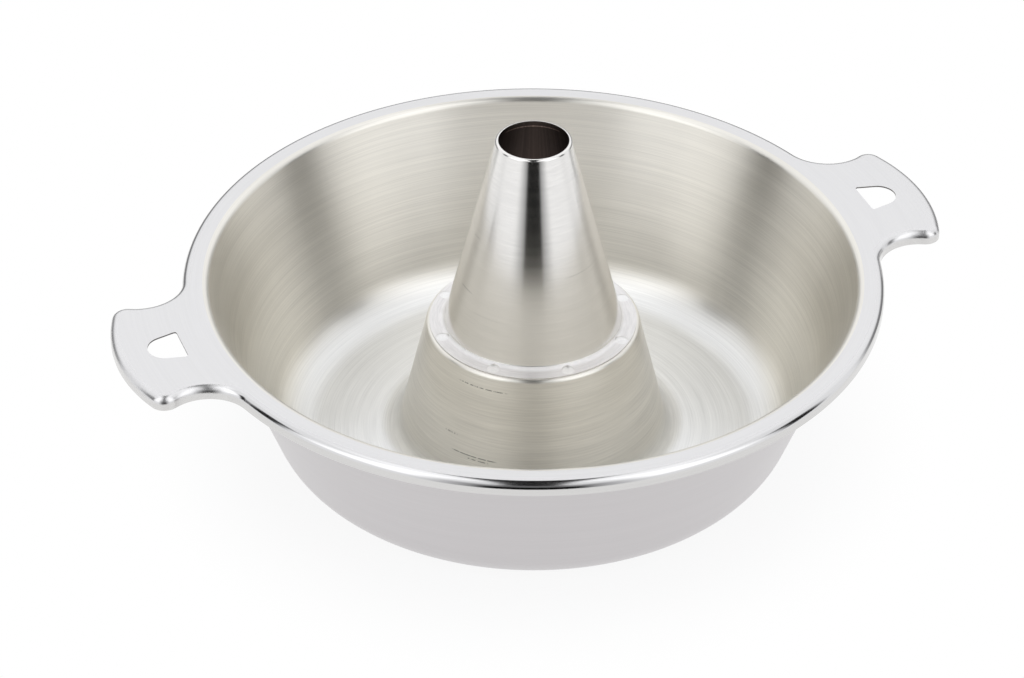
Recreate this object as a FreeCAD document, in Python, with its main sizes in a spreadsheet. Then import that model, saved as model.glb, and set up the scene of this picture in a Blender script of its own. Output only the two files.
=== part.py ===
import FreeCAD, Part
import enum
import math
import os

import Sketcher

# A chimney hot pot in pressed stainless sheet, in millimetres.
#
# Three pieces make the real pot:
#   pot_body       one deep drawn sheet: bowl, rolled rim, two lug handles and
#                  the tapered step that rises in the middle of the floor
#   chimney_stack  a straight cone of sheet, open at both ends, whose foot flange
#                  lies on top of the step
#   spot_welds     the ring of nuggets that joins the flange to the step
#
# Frame: +Z up, origin at the middle of the underside, handles along X.

# Driving dimensions

DIMENSIONS = {
    "sheet_thickness": 0.6,           # thickness of the pot's sheet
    "rim_height": 76.2,               # underside of the floor to the top of the rim
    "rim_radius": 138.0,              # outside of the rolled rim
    "rim_flat_radius": 130.0,         # where the flat of the rim turns down into the bowl
    "rim_bend_radius": 2.9,           # bend from the rim down into the wall
    "rim_roll_radius": 2.3,           # rolled outer edge of the rim and of the handles
    "skirt_depth": 5.4,               # top of the rim to the lower edge of its skirt
    "wall_angle": 20.1,               # taper of the bowl wall from upright
    "floor_bend_radius": 19.5,        # inside radius from the wall to the floor
    "foot_bend_radius": 8.8,          # radius from the floor up into the step
    "step_height": 52.3,              # underside of the floor to the top of the step
    "step_angle": 13.5,               # taper of the step's wall from upright
    "step_flat_radius": 41.0,         # where the flat top of the step ends
    "step_bend_radius": 1.7,          # rounded shoulder of the step
    "flue_radius": 34.0,              # hole left open in the top of the step
    "lug_reach": 169.3,               # axis of the pot to the tip of a handle
    "lug_end_radius": 75.0,           # shallow arc of a handle's outer end
    "lug_corner_radius": 6.0,         # rounded corners of a handle
    "neck_width": 59.4,               # narrowest width of a handle
    "neck_radius": 17.0,              # hollow curve from the rim into a handle
    "slot_inner": 143.5,              # axis of the pot to the straight side of the hanging hole
    "slot_width": 17.0,               # width of the hanging hole at its straight side
    "slot_centre": 150.0,             # axis of the pot to the centre of its round end
    "slot_end_radius": 7.1,           # round end of the hanging hole
    "slot_corner_radius": 1.0,        # rounded corners at its straight side
    "stack_thickness": 0.6,           # thickness of the chimney's sheet
    "stack_height": 83.3,             # top of the foot flange to the chimney's mouth
    "stack_angle": 14.0,              # taper of the chimney from upright
    "stack_mouth": 13.7,              # inside radius of the mouth
    "lip_bend_radius": 1.1,           # edge of the mouth, turned inwards
    "lip_turn_width": 0.15,           # level stretch of that edge past its bend
    "stack_foot_bend_radius": 2.4,    # hollow bend from the chimney to its foot flange
    "flange_radius": 41.2,            # outside of the foot flange
    "weld_count": 8,                  # spot welds round the foot flange
    "weld_ring_radius": 38.2,         # radius of the ring of welds
    "weld_radius": 2.6,               # radius of one weld's electrode mark
    "weld_dimple_depth": 0.12,        # depth of the electrode mark on either side
    "weld_dish_radius": 30.0,         # radius of the dished face of a weld
}


class Spot(enum.IntEnum):
    """Which point of a sketch's line or arc a constraint takes."""

    START = 1
    END = 2
    CENTRE = 3


class Fixed(enum.IntEnum):
    """The fixed geometry that every sketch has; the origin is the start of its level axis."""

    LEVEL_AXIS = -1
    UPRIGHT_AXIS = -2


START, END, CENTRE = Spot
ORIGIN = AXIS_X = Fixed.LEVEL_AXIS
AXIS_Y = Fixed.UPRIGHT_AXIS


def make_sheet(doc):
    """Write the driving dimensions into a spreadsheet, one alias to a row."""
    table = doc.addObject("Spreadsheet::Sheet", "dimensions")
    for row, (name, value) in enumerate(DIMENSIONS.items(), start=1):
        table.set(f"A{row}", name)
        table.set(f"B{row}", str(value))
        table.setAlias(f"B{row}", name)
    doc.recompute()
    return table


def cell(name):
    """Return the expression that reads one driving dimension."""
    return f"dimensions.{name}"


def origin_feature(body, role):
    """Return the plane or axis of a body's own origin that has this role."""
    return next(item for item in body.Origin.OriginFeatures if item.Role == role)


def new_sketch(body, name, role, height=None):
    """Add a sketch on one origin plane of a body, raised to a height if one is given."""
    sketch = body.newObject("Sketcher::SketchObject", name)
    sketch.AttachmentSupport = [(origin_feature(body, role), "")]
    sketch.MapMode = "FlatFace"
    if height:
        sketch.setExpression("AttachmentOffset.Base.z", height)
    return sketch


def constrain(sketch, *arguments, expression=None):
    """Add one constraint, driven by an expression where there is one."""
    index = sketch.addConstraint(Sketcher.Constraint(*arguments))
    if expression:
        sketch.setExpression(f"Constraints[{index}]", expression)
    return index


# Flat outlines of arcs and lines

def point(x, y):
    """Return a point in a sketch's plane."""
    return FreeCAD.Vector(x, y, 0)


def polar(centre, radius, angle):
    """Return the point at this radius and angle, in radians, from a centre."""
    return centre + point(radius * math.cos(angle), radius * math.sin(angle))


def heading(start, end):
    """Return the angle, in radians, of the way from one point to another."""
    return math.atan2(end.y - start.y, end.x - start.x)


def add_arc(sketch, centre, radius, first, last):
    """Add an arc that runs from the first point to the last the shorter way round.

    Returns its index, then the ends that stand for the first and the last point.
    """
    begin, finish = heading(centre, first), heading(centre, last)
    turn = (finish - begin + math.pi) % (2 * math.pi) - math.pi
    if turn < 0:
        begin, finish = finish, begin
    circle = Part.Circle(centre, FreeCAD.Vector(0, 0, 1), radius)
    index = sketch.addGeometry(Part.ArcOfCircle(circle, begin, begin + abs(turn)))
    return (index, START, END) if turn > 0 else (index, END, START)


def add_line(sketch, first, last):
    """Add a line. Returns its index and its first and last ends."""
    return sketch.addGeometry(Part.LineSegment(first, last)), START, END


def meet(first_centre, first_radius, second_centre, second_radius, side):
    """Return the point where two circles meet, on the given side of their centre line."""
    way = second_centre - first_centre
    apart = way.Length
    along = (apart ** 2 + first_radius ** 2 - second_radius ** 2) / (2 * apart)
    across = math.sqrt(first_radius ** 2 - along ** 2)
    angle = heading(first_centre, second_centre) + side * math.atan2(across, along)
    return polar(first_centre, first_radius, angle)


def close_with_tangents(sketch, pieces):
    """Join each piece of a closed outline to the next so that they flow into one another."""
    for piece, following in zip(pieces, pieces[1:] + pieces[:1]):
        constrain(sketch, "Tangent", piece[0], piece[2], following[0], following[1])


# Sheet bent along a path

class Strip:
    """The section of a bent sheet: a visible side and a back, one thickness apart.

    The path gives the sharp corners of the visible side, and the bends the radius of
    the visible side at each corner between. The sheet lies to the right of the path as
    it is walked if back is -1, and to the left if it is 1.
    """

    def __init__(self, sketch, path, bends, thickness, back):
        self.sketch = sketch
        self.face_lines, self.face_bends = self.chain(path, bends)
        far_path = self.offset(path, thickness * back)
        far_bends = [
            radius + thickness * self.grows(path, corner, back)
            for corner, radius in enumerate(bends, start=1)
        ]
        self.back_lines, self.back_bends = self.chain(far_path, far_bends)
        for near, far in zip(self.face_bends, self.back_bends):
            constrain(sketch, "Coincident", near[0], CENTRE, far[0], CENTRE)
        self.first_cap = self.cap(path[0], far_path[0], self.face_lines[0], self.back_lines[0], START)
        self.last_cap = self.cap(path[-1], far_path[-1], self.face_lines[-1], self.back_lines[-1], END)

    @staticmethod
    def turn(path, corner):
        """Return the angle, in radians, that the path turns to the left at a corner."""
        before = heading(path[corner - 1], path[corner])
        after = heading(path[corner], path[corner + 1])
        return (after - before + math.pi) % (2 * math.pi) - math.pi

    @classmethod
    def grows(cls, path, corner, back):
        """Return 1 where the back has the wider bend at a corner, and -1 elsewhere."""
        return -1 if cls.turn(path, corner) * back > 0 else 1

    @staticmethod
    def offset(path, distance):
        """Return the path moved to its left by a distance, with its corners kept sharp."""
        ways = [heading(start, end) for start, end in zip(path, path[1:])]
        moved = [polar(path[0], distance, ways[0] + math.pi / 2)]
        for corner, (before, after) in zip(path[1:-1], zip(ways, ways[1:])):
            middle = before + ((after - before + math.pi) % (2 * math.pi) - math.pi) / 2
            reach = distance / math.cos(middle - before)
            moved.append(polar(corner, reach, middle + math.pi / 2))
        moved.append(polar(path[-1], distance, ways[-1] + math.pi / 2))
        return moved

    def chain(self, path, bends):
        """Draw lines along the path with an arc in each corner, all tangent."""
        starts, arcs = [path[0]], []
        ends = []
        for corner, radius in enumerate(bends, start=1):
            turn = self.turn(path, corner)
            setback = radius * math.tan(abs(turn) / 2)
            before = heading(path[corner - 1], path[corner])
            after = heading(path[corner], path[corner + 1])
            first = polar(path[corner], -setback, before)
            last = polar(path[corner], setback, after)
            centre = polar(first, radius, before + math.copysign(math.pi / 2, turn))
            arcs.append((centre, radius, first, last))
            ends.append(first)
            starts.append(last)
        ends.append(path[-1])
        lines = [add_line(self.sketch, start, end) for start, end in zip(starts, ends)]
        arcs = [add_arc(self.sketch, *arc) for arc in arcs]
        for line, arc, following in zip(lines, arcs, lines[1:]):
            constrain(self.sketch, "Tangent", line[0], line[2], arc[0], arc[1])
            constrain(self.sketch, "Tangent", arc[0], arc[2], following[0], following[1])
        return lines, arcs

    def cap(self, near_point, far_point, near_line, far_line, end):
        """Close the strip at one end, square to the sheet."""
        index = add_line(self.sketch, near_point, far_point)[0]
        constrain(self.sketch, "Coincident", index, START, near_line[0], end)
        constrain(self.sketch, "Coincident", index, END, far_line[0], end)
        constrain(self.sketch, "Perpendicular", index, near_line[0])
        return index

    def level(self, number):
        """Hold both sides of one flat of the strip level."""
        for lines in (self.face_lines, self.back_lines):
            constrain(self.sketch, "Horizontal", lines[number][0])

    def parallel(self, number):
        """Hold the back of one flat parallel to its visible side."""
        constrain(self.sketch, "Parallel", self.face_lines[number][0], self.back_lines[number][0])

    def slope(self, number, expression):
        """Set the angle of one flat from the sketch's upright axis."""
        index = self.face_lines[number][0]
        line = self.sketch.Geometry[index]
        lean = abs(math.atan2(line.EndPoint.x - line.StartPoint.x, line.EndPoint.y - line.StartPoint.y))
        lean = min(lean, math.pi - lean)
        low = START if line.StartPoint.y < line.EndPoint.y else END
        outwards = (line.EndPoint.x > line.StartPoint.x) == (low == START)
        if outwards:
            constrain(self.sketch, "Angle", index, low, AXIS_Y, START, lean, expression=expression)
        else:
            constrain(self.sketch, "Angle", AXIS_Y, START, index, low, lean, expression=expression)

    def bend(self, number, radius, expression):
        """Set the radius of one bend on the visible side."""
        constrain(self.sketch, "Radius", self.face_bends[number][0], radius, expression=expression)

    def place(self, axis, index, end, value, expression):
        """Set the distance of a point of the strip from the origin along X or Y."""
        constrain(self.sketch, f"Distance{axis}", ORIGIN, START, index, end, value, expression=expression)


def rise(angle):
    """Return how far out a wall at this angle from upright, in degrees, goes for each unit up."""
    return math.tan(math.radians(angle))


# Pot body

def draw_rim_outline(sketch, size):
    """Draw the rim's outline: the round rim with a waisted lug handle on either side."""
    middle = point(0, 0)
    neck_height = size["neck_width"] / 2 + size["neck_radius"]
    neck_reach = size["rim_radius"] + size["neck_radius"]
    neck_x = math.sqrt(neck_reach ** 2 - neck_height ** 2)
    end_x = size["lug_reach"] - size["lug_end_radius"]
    pieces, necks, corners, ends, rims = [], [], [], [], []
    for way in (1, -1):
        end_centre = point(way * end_x, 0)
        # Each quarter is walked so that the whole outline runs anticlockwise
        lower_neck = point(way * neck_x, -way * neck_height)
        upper_neck = point(way * neck_x, way * neck_height)
        lower_corner = meet(end_centre, size["lug_end_radius"] - size["lug_corner_radius"],
                            lower_neck, size["neck_radius"] + size["lug_corner_radius"], 1)
        upper_corner = meet(end_centre, size["lug_end_radius"] - size["lug_corner_radius"],
                            upper_neck, size["neck_radius"] + size["lug_corner_radius"], -1)
        leave_rim = polar(middle, size["rim_radius"], heading(middle, lower_neck))
        lower_join = polar(lower_corner, size["lug_corner_radius"], heading(lower_corner, lower_neck))
        lower_tip = polar(end_centre, size["lug_end_radius"], heading(end_centre, lower_corner))
        upper_tip = polar(end_centre, size["lug_end_radius"], heading(end_centre, upper_corner))
        upper_join = polar(upper_corner, size["lug_corner_radius"], heading(upper_corner, upper_neck))
        reach_rim = polar(middle, size["rim_radius"], heading(middle, upper_neck))
        necks.append(add_arc(sketch, lower_neck, size["neck_radius"], leave_rim, lower_join))
        corners.append(add_arc(sketch, lower_corner, size["lug_corner_radius"], lower_join, lower_tip))
        ends.append(add_arc(sketch, end_centre, size["lug_end_radius"], lower_tip, upper_tip))
        corners.append(add_arc(sketch, upper_corner, size["lug_corner_radius"], upper_tip, upper_join))
        necks.append(add_arc(sketch, upper_neck, size["neck_radius"], upper_join, reach_rim))
        opposite = point(-reach_rim.x, reach_rim.y)
        rims.append(add_arc(sketch, middle, size["rim_radius"], reach_rim, opposite))
        pieces += [necks[-2], corners[-2], ends[-1], corners[-1], necks[-1], rims[-1]]
    close_with_tangents(sketch, pieces)
    for rim in rims:
        constrain(sketch, "Coincident", rim[0], CENTRE, ORIGIN, START)
        constrain(sketch, "Radius", rim[0], size["rim_radius"], expression=cell("rim_radius"))
    for end, way in zip(ends, (1, -1)):
        constrain(sketch, "PointOnObject", end[0], CENTRE, AXIS_X)
        constrain(sketch, "Radius", end[0], size["lug_end_radius"], expression=cell("lug_end_radius"))
        reach = f"{way} * ({cell('lug_reach')} - {cell('lug_end_radius')})"
        constrain(sketch, "DistanceX", ORIGIN, START, end[0], CENTRE, way * end_x, expression=reach)
    for corner in corners:
        constrain(sketch, "Radius", corner[0], size["lug_corner_radius"],
                  expression=cell("lug_corner_radius"))
    for neck, side in zip(necks, (-1, 1, 1, -1)):
        constrain(sketch, "Radius", neck[0], size["neck_radius"], expression=cell("neck_radius"))
        height = f"{side} * ({cell('neck_width')} / 2 + {cell('neck_radius')})"
        constrain(sketch, "DistanceY", ORIGIN, START, neck[0], CENTRE, side * neck_height, expression=height)


def draw_bowl_section(sketch, size):
    """Draw the bowl's section, from the rim down the wall, along the floor and up the step."""
    wall_out = rise(size["wall_angle"])
    step_out = rise(size["step_angle"])
    rim_corner = size["rim_flat_radius"] - size["rim_bend_radius"] * math.tan(
        math.radians(90 - size["wall_angle"]) / 2)
    wall_foot = rim_corner - (size["rim_height"] - size["sheet_thickness"]) * wall_out
    step_corner = size["step_flat_radius"] + size["step_bend_radius"] * math.tan(
        math.radians(90 - size["step_angle"]) / 2)
    step_foot = step_corner + (size["step_height"] - size["sheet_thickness"]) * step_out
    path = [
        point(size["rim_flat_radius"] + size["sheet_thickness"], size["rim_height"]),
        point(rim_corner, size["rim_height"]),
        point(wall_foot, size["sheet_thickness"]),
        point(step_foot, size["sheet_thickness"]),
        point(step_corner, size["step_height"]),
        point(size["flue_radius"], size["step_height"]),
    ]
    bend_names = ("rim_bend_radius", "floor_bend_radius", "foot_bend_radius", "step_bend_radius")
    bends = [size[name] for name in bend_names]
    strip = Strip(sketch, path, bends, size["sheet_thickness"], back=1)
    rim, wall, floor, step, top = range(5)
    for number in (rim, floor, top):
        strip.level(number)
    for number in (wall, step):
        strip.parallel(number)
    strip.slope(wall, cell("wall_angle"))
    strip.slope(step, cell("step_angle"))
    for number, name in enumerate(bend_names):
        strip.bend(number, size[name], cell(name))
    strip.place("Y", strip.face_lines[rim][0], START, size["rim_height"], cell("rim_height"))
    strip.place("Y", strip.face_lines[floor][0], START, size["sheet_thickness"], cell("sheet_thickness"))
    constrain(sketch, "PointOnObject", strip.back_lines[floor][0], START, AXIS_X)
    strip.place("Y", strip.face_lines[top][0], END, size["step_height"], cell("step_height"))
    overlap = f"{cell('rim_flat_radius')} + {cell('sheet_thickness')}"
    strip.place("X", strip.face_lines[rim][0], START, path[0].x, overlap)
    strip.place("X", strip.face_bends[0][0], CENTRE, size["rim_flat_radius"], cell("rim_flat_radius"))
    strip.place("X", strip.face_bends[3][0], CENTRE, size["step_flat_radius"], cell("step_flat_radius"))
    strip.place("X", strip.face_lines[top][0], END, size["flue_radius"], cell("flue_radius"))


def draw_hanging_hole(sketch, size):
    """Draw one handle's hanging hole: a straight side, tapering sides and a round end."""
    half = size["slot_width"] / 2
    end_centre = point(size["slot_centre"], 0)
    corner_x = size["slot_inner"] + size["slot_corner_radius"]
    corner_y = half - size["slot_corner_radius"]
    # Both circles touch the sloping side from within, so it leaves each at the same angle
    corner = point(corner_x, corner_y)
    lean = math.acos((size["slot_end_radius"] - size["slot_corner_radius"]) / (end_centre - corner).Length)
    normal = heading(end_centre, corner) - lean
    pieces = []
    lower_corner = point(corner_x, -corner_y)
    ends = {
        "lower_side": point(size["slot_inner"], -corner_y),
        "lower_slope": polar(lower_corner, size["slot_corner_radius"], -normal),
        "lower_end": polar(end_centre, size["slot_end_radius"], -normal),
        "upper_end": polar(end_centre, size["slot_end_radius"], normal),
        "upper_slope": polar(corner, size["slot_corner_radius"], normal),
        "upper_side": point(size["slot_inner"], corner_y),
    }
    lower = add_arc(sketch, lower_corner, size["slot_corner_radius"], ends["lower_side"], ends["lower_slope"])
    pieces += [lower, add_line(sketch, ends["lower_slope"], ends["lower_end"])]
    tip = point(size["slot_centre"] + size["slot_end_radius"], 0)
    begin, finish = heading(end_centre, ends["lower_end"]), heading(end_centre, ends["upper_end"])
    circle = Part.Circle(end_centre, FreeCAD.Vector(0, 0, 1), (tip - end_centre).Length)
    round_end = (sketch.addGeometry(Part.ArcOfCircle(circle, begin, finish)), START, END)
    pieces += [round_end, add_line(sketch, ends["upper_end"], ends["upper_slope"])]
    upper = add_arc(sketch, corner, size["slot_corner_radius"], ends["upper_slope"], ends["upper_side"])
    side = add_line(sketch, ends["upper_side"], ends["lower_side"])
    pieces += [upper, side]
    close_with_tangents(sketch, pieces)
    constrain(sketch, "Vertical", side[0])
    constrain(sketch, "DistanceX", ORIGIN, START, side[0], START, size["slot_inner"],
              expression=cell("slot_inner"))
    constrain(sketch, "PointOnObject", round_end[0], CENTRE, AXIS_X)
    constrain(sketch, "DistanceX", ORIGIN, START, round_end[0], CENTRE, size["slot_centre"],
              expression=cell("slot_centre"))
    constrain(sketch, "Radius", round_end[0], size["slot_end_radius"], expression=cell("slot_end_radius"))
    for arc, way in ((lower, -1), (upper, 1)):
        constrain(sketch, "Radius", arc[0], size["slot_corner_radius"], expression=cell("slot_corner_radius"))
        height = f"{way} * ({cell('slot_width')} / 2 - {cell('slot_corner_radius')})"
        constrain(sketch, "DistanceY", ORIGIN, START, arc[0], CENTRE, way * corner_y, expression=height)


def add_pad(body, sketch, name, length):
    """Raise a sketch by a length."""
    pad = body.newObject("PartDesign::Pad", name)
    pad.Profile = sketch
    pad.setExpression("Length", length)
    return pad


def add_pocket(body, sketch, name, length):
    """Cut a sketch downwards by a length."""
    pocket = body.newObject("PartDesign::Pocket", name)
    pocket.Profile = sketch
    pocket.setExpression("Length", length)
    return pocket


def add_revolution(body, sketch, name):
    """Spin a section right round the pot's axis."""
    spin = body.newObject("PartDesign::Revolution", name)
    spin.Profile = sketch
    spin.ReferenceAxis = (sketch, ["V_Axis"])
    spin.Angle = 360.0
    return spin


def draw_circle(sketch, x, x_expression, radius, radius_expression):
    """Draw a circle whose centre lies on the X axis, or on the origin where x is none."""
    index = sketch.addGeometry(Part.Circle(point(x or 0, 0), FreeCAD.Vector(0, 0, 1), radius))
    constrain(sketch, "Radius", index, radius, expression=radius_expression)
    if x is None:
        constrain(sketch, "Coincident", index, CENTRE, ORIGIN, START)
        return
    constrain(sketch, "PointOnObject", index, CENTRE, AXIS_X)
    constrain(sketch, "DistanceX", ORIGIN, START, index, CENTRE, x, expression=x_expression)


def add_weld_holes(doc, body, size, height, length):
    """Cut the ring of round seats for the welds, down from a height."""
    sketch = new_sketch(body, body.Label + "_weld_seat_outline", "XY_Plane", height)
    draw_circle(sketch, size["weld_ring_radius"], cell("weld_ring_radius"),
                size["weld_radius"], cell("weld_radius"))
    seat = add_pocket(body, sketch, body.Label + "_weld_seat", length)
    doc.recompute()
    ring = body.newObject("PartDesign::PolarPattern", body.Label + "_weld_seats")
    ring.Originals = [seat]
    ring.Axis = (origin_feature(body, "Z_Axis"), [""])
    ring.Angle = 360.0
    ring.setExpression("Occurrences", cell("weld_count"))
    body.Tip = ring
    doc.recompute()
    return seat, ring


def face_names(shape, test):
    """Return the names of the faces of a shape that pass a test."""
    return [f"Face{number}" for number, face in enumerate(shape.Faces, start=1) if test(face)]


def edge_names(shape, test):
    """Return the names of the edges of a shape that pass a test."""
    return [f"Edge{number}" for number, edge in enumerate(shape.Edges, start=1) if test(edge)]


def must_differ(before, after, what):
    """Stop where a cut has taken nothing away."""
    if after >= before - 1e-6:
        raise RuntimeError(f"{what} cut nothing")


def make_pot_body(doc, size):
    """Press the pot body: rim and handles as a shallow cap, then the bowl hung inside it."""
    body = doc.addObject("PartDesign::Body", "pot_body")
    body.Label = "pot_body"
    near = 1e-6

    outline = new_sketch(body, "rim_outline", "XY_Plane", f"{cell('rim_height')} - {cell('skirt_depth')}")
    draw_rim_outline(outline, size)
    blank = add_pad(body, outline, "rim_blank", cell("skirt_depth"))
    doc.recompute()

    def on_top(edge):
        return abs(edge.BoundBox.ZMin - size["rim_height"]) < near and edge.BoundBox.ZLength < near

    rolled = body.newObject("PartDesign::Fillet", "rolled_edge")
    rolled.Base = (blank, edge_names(blank.Shape, on_top))
    rolled.setExpression("Radius", cell("rim_roll_radius"))
    doc.recompute()

    def underneath(face):
        return abs(face.BoundBox.ZMax - (size["rim_height"] - size["skirt_depth"])) < near

    cap = body.newObject("PartDesign::Thickness", "rim_cap")
    cap.Base = (rolled, face_names(rolled.Shape, underneath))
    cap.Reversed = True
    cap.setExpression("Value", cell("sheet_thickness"))
    doc.recompute()

    mouth = new_sketch(body, "mouth_outline", "XY_Plane", cell("rim_height"))
    draw_circle(mouth, None, None, size["rim_flat_radius"], cell("rim_flat_radius"))
    opening = add_pocket(body, mouth, "mouth", cell("skirt_depth"))
    doc.recompute()
    must_differ(cap.Shape.Volume, opening.Shape.Volume, "the mouth")

    section = new_sketch(body, "bowl_section", "XZ_Plane")
    draw_bowl_section(section, size)
    bowl = add_revolution(body, section, "bowl")
    doc.recompute()

    slot = new_sketch(body, "hanging_hole_outline", "XY_Plane", cell("rim_height"))
    draw_hanging_hole(slot, size)
    hole = add_pocket(body, slot, "hanging_hole", cell("skirt_depth"))
    doc.recompute()
    must_differ(bowl.Shape.Volume, hole.Shape.Volume, "the hanging hole")
    both = body.newObject("PartDesign::Mirrored", "hanging_holes")
    both.Originals = [hole]
    both.MirrorPlane = (origin_feature(body, "YZ_Plane"), [""])
    body.Tip = both
    doc.recompute()
    must_differ(hole.Shape.Volume, both.Shape.Volume, "the second hanging hole")

    seat, ring = add_weld_holes(doc, body, size, cell("step_height"), f"2 * {cell('sheet_thickness')}")
    must_differ(both.Shape.Volume, seat.Shape.Volume, "the first weld seat")
    must_differ(seat.Shape.Volume, ring.Shape.Volume, "the ring of weld seats")
    return body


# Chimney stack

def draw_stack_section(sketch, size):
    """Draw the chimney's section, from the flange's edge in to the cone and up to the mouth."""
    lean = rise(size["stack_angle"])
    half_turn = math.radians(90 - size["stack_angle"]) / 2
    flange_top = size["step_height"] + size["stack_thickness"]
    mouth_top = flange_top + size["stack_height"]
    lip_centre = size["stack_mouth"] + size["lip_turn_width"]
    lip_corner = lip_centre + size["lip_bend_radius"] * math.tan(half_turn)
    foot_corner = lip_corner + size["stack_height"] * lean
    path = [
        point(size["flange_radius"], flange_top),
        point(foot_corner, flange_top),
        point(lip_corner, mouth_top),
        point(size["stack_mouth"], mouth_top),
    ]
    bends = [size["stack_foot_bend_radius"], size["lip_bend_radius"]]
    strip = Strip(sketch, path, bends, size["stack_thickness"], back=1)
    flange, cone, lip = range(3)
    for number in (flange, lip):
        strip.level(number)
    strip.parallel(cone)
    strip.slope(cone, cell("stack_angle"))
    strip.bend(0, size["stack_foot_bend_radius"], cell("stack_foot_bend_radius"))
    strip.bend(1, size["lip_bend_radius"], cell("lip_bend_radius"))
    top_of_flange = f"{cell('step_height')} + {cell('stack_thickness')}"
    strip.place("Y", strip.back_lines[flange][0], START, size["step_height"], cell("step_height"))
    strip.place("Y", strip.face_lines[flange][0], START, flange_top, top_of_flange)
    top_of_mouth = f"{top_of_flange} + {cell('stack_height')}"
    strip.place("Y", strip.face_lines[lip][0], END, mouth_top, top_of_mouth)
    strip.place("X", strip.face_lines[flange][0], START, size["flange_radius"], cell("flange_radius"))
    strip.place("X", strip.face_lines[lip][0], END, size["stack_mouth"], cell("stack_mouth"))
    lip_place = f"{cell('stack_mouth')} + {cell('lip_turn_width')}"
    strip.place("X", strip.face_bends[1][0], CENTRE, lip_centre, lip_place)


def make_chimney_stack(doc, size):
    """Form the chimney: a cone with its foot turned out and its mouth turned in."""
    body = doc.addObject("PartDesign::Body", "chimney_stack")
    body.Label = "chimney_stack"
    section = new_sketch(body, "stack_section", "XZ_Plane")
    draw_stack_section(section, size)
    cone = add_revolution(body, section, "cone")
    doc.recompute()
    # The seats start above the hollow bend, where the marks bite into its foot
    above = f"{cell('step_height')} + {cell('stack_thickness')} + {cell('stack_foot_bend_radius')}"
    depth = f"2 * {cell('stack_thickness')} + {cell('stack_foot_bend_radius')}"
    seat, ring = add_weld_holes(doc, body, size, above, depth)
    must_differ(cone.Shape.Volume, seat.Shape.Volume, "the first weld seat")
    must_differ(seat.Shape.Volume, ring.Shape.Volume, "the ring of weld seats")
    return body


# Spot welds

def make_spot_welds(doc, size):
    """Fill each seat with a nugget through both sheets, dished on top by the electrode."""
    nuggets = []
    bottom = f"{cell('step_height')} - {cell('sheet_thickness')} + {cell('weld_dimple_depth')}"
    height = f"{cell('sheet_thickness')} + {cell('stack_thickness')} - 2 * {cell('weld_dimple_depth')}"
    for number in range(int(size["weld_count"])):
        angle = f"{number} * 360 deg / {cell('weld_count')}"
        slug = doc.addObject("Part::Cylinder", f"slug_{number + 1}")
        slug.setExpression("Radius", cell("weld_radius"))
        slug.setExpression("Height", height)
        dish = doc.addObject("Part::Sphere", f"dish_{number + 1}")
        dish.setExpression("Radius", cell("weld_dish_radius"))
        # The sphere dips to the dimple's depth below the slug's rim at the middle
        sink = f"sqrt({cell('weld_dish_radius')}^2 - {cell('weld_radius')}^2)"
        for item, level in ((slug, bottom), (dish, f"{bottom} + {height} + {sink}")):
            item.setExpression("Placement.Base.x", f"{cell('weld_ring_radius')} * cos({angle})")
            item.setExpression("Placement.Base.y", f"{cell('weld_ring_radius')} * sin({angle})")
            item.setExpression("Placement.Base.z", level)
        nugget = doc.addObject("Part::Cut", f"nugget_{number + 1}")
        nugget.Base = slug
        nugget.Tool = dish
        nuggets.append(nugget)
    welds = doc.addObject("Part::Compound", "spot_welds")
    welds.Links = nuggets
    welds.Label = "spot_welds"
    doc.recompute()
    return welds


# Checks and output

def check_document(doc, parts):
    """Stop where an object has failed, or a part is missing, open or in loose pieces."""
    for item in doc.Objects:
        if "Invalid" in item.State or "Error" in item.State:
            raise RuntimeError(f"{item.Name} failed: {item.State}")
        if item.TypeId == "Sketcher::SketchObject" and item.solve() != 0:
            raise RuntimeError(f"{item.Name} doesn't solve")
    for part, solids in parts:
        shape = part.Shape
        if shape.isNull() or not shape.isValid() or len(shape.Solids) != solids:
            raise RuntimeError(f"{part.Label} isn't {solids} valid solids")


def main():
    """Build the pot, check it and write one file for each part."""
    doc = FreeCAD.newDocument("chimney_hot_pot")
    make_sheet(doc)
    size = dict(DIMENSIONS)
    parts = [
        (make_pot_body(doc, size), 1),
        (make_chimney_stack(doc, size), 1),
        (make_spot_welds(doc, size), int(size["weld_count"])),
    ]
    doc.recompute()
    check_document(doc, parts)
    os.makedirs("parts", exist_ok=True)
    for part, solids in parts:
        part.Shape.exportStep(os.path.join("parts", part.Label + ".step"))
        box = part.Shape.BoundBox
        print(f"{part.Label}: {solids} solids, {part.Shape.Volume / 1000:.2f} cm3, "
              f"z {box.ZMin:.2f} to {box.ZMax:.2f}, {box.XLength:.1f} by {box.YLength:.1f}")


main()
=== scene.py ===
import logging
import math
from collections.abc import Iterable, Mapping, Sequence
from dataclasses import dataclass
from enum import Enum, IntEnum

import bmesh
import bpy
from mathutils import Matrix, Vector


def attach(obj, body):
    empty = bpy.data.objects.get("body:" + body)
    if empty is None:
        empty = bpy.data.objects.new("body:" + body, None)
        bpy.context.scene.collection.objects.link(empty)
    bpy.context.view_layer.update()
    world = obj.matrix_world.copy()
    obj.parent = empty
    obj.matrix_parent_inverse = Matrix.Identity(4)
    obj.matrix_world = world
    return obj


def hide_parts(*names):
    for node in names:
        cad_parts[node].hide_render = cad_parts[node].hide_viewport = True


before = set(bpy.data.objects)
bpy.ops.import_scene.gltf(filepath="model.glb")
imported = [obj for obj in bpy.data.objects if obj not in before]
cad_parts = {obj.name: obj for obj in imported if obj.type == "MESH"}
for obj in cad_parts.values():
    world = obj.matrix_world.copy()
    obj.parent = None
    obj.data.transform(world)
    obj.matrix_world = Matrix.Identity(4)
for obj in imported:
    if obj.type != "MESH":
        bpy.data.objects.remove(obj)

LOG = logging.getLogger("chimney_hot_pot")
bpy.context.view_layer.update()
MILLIMETRE = 0.001
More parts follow.
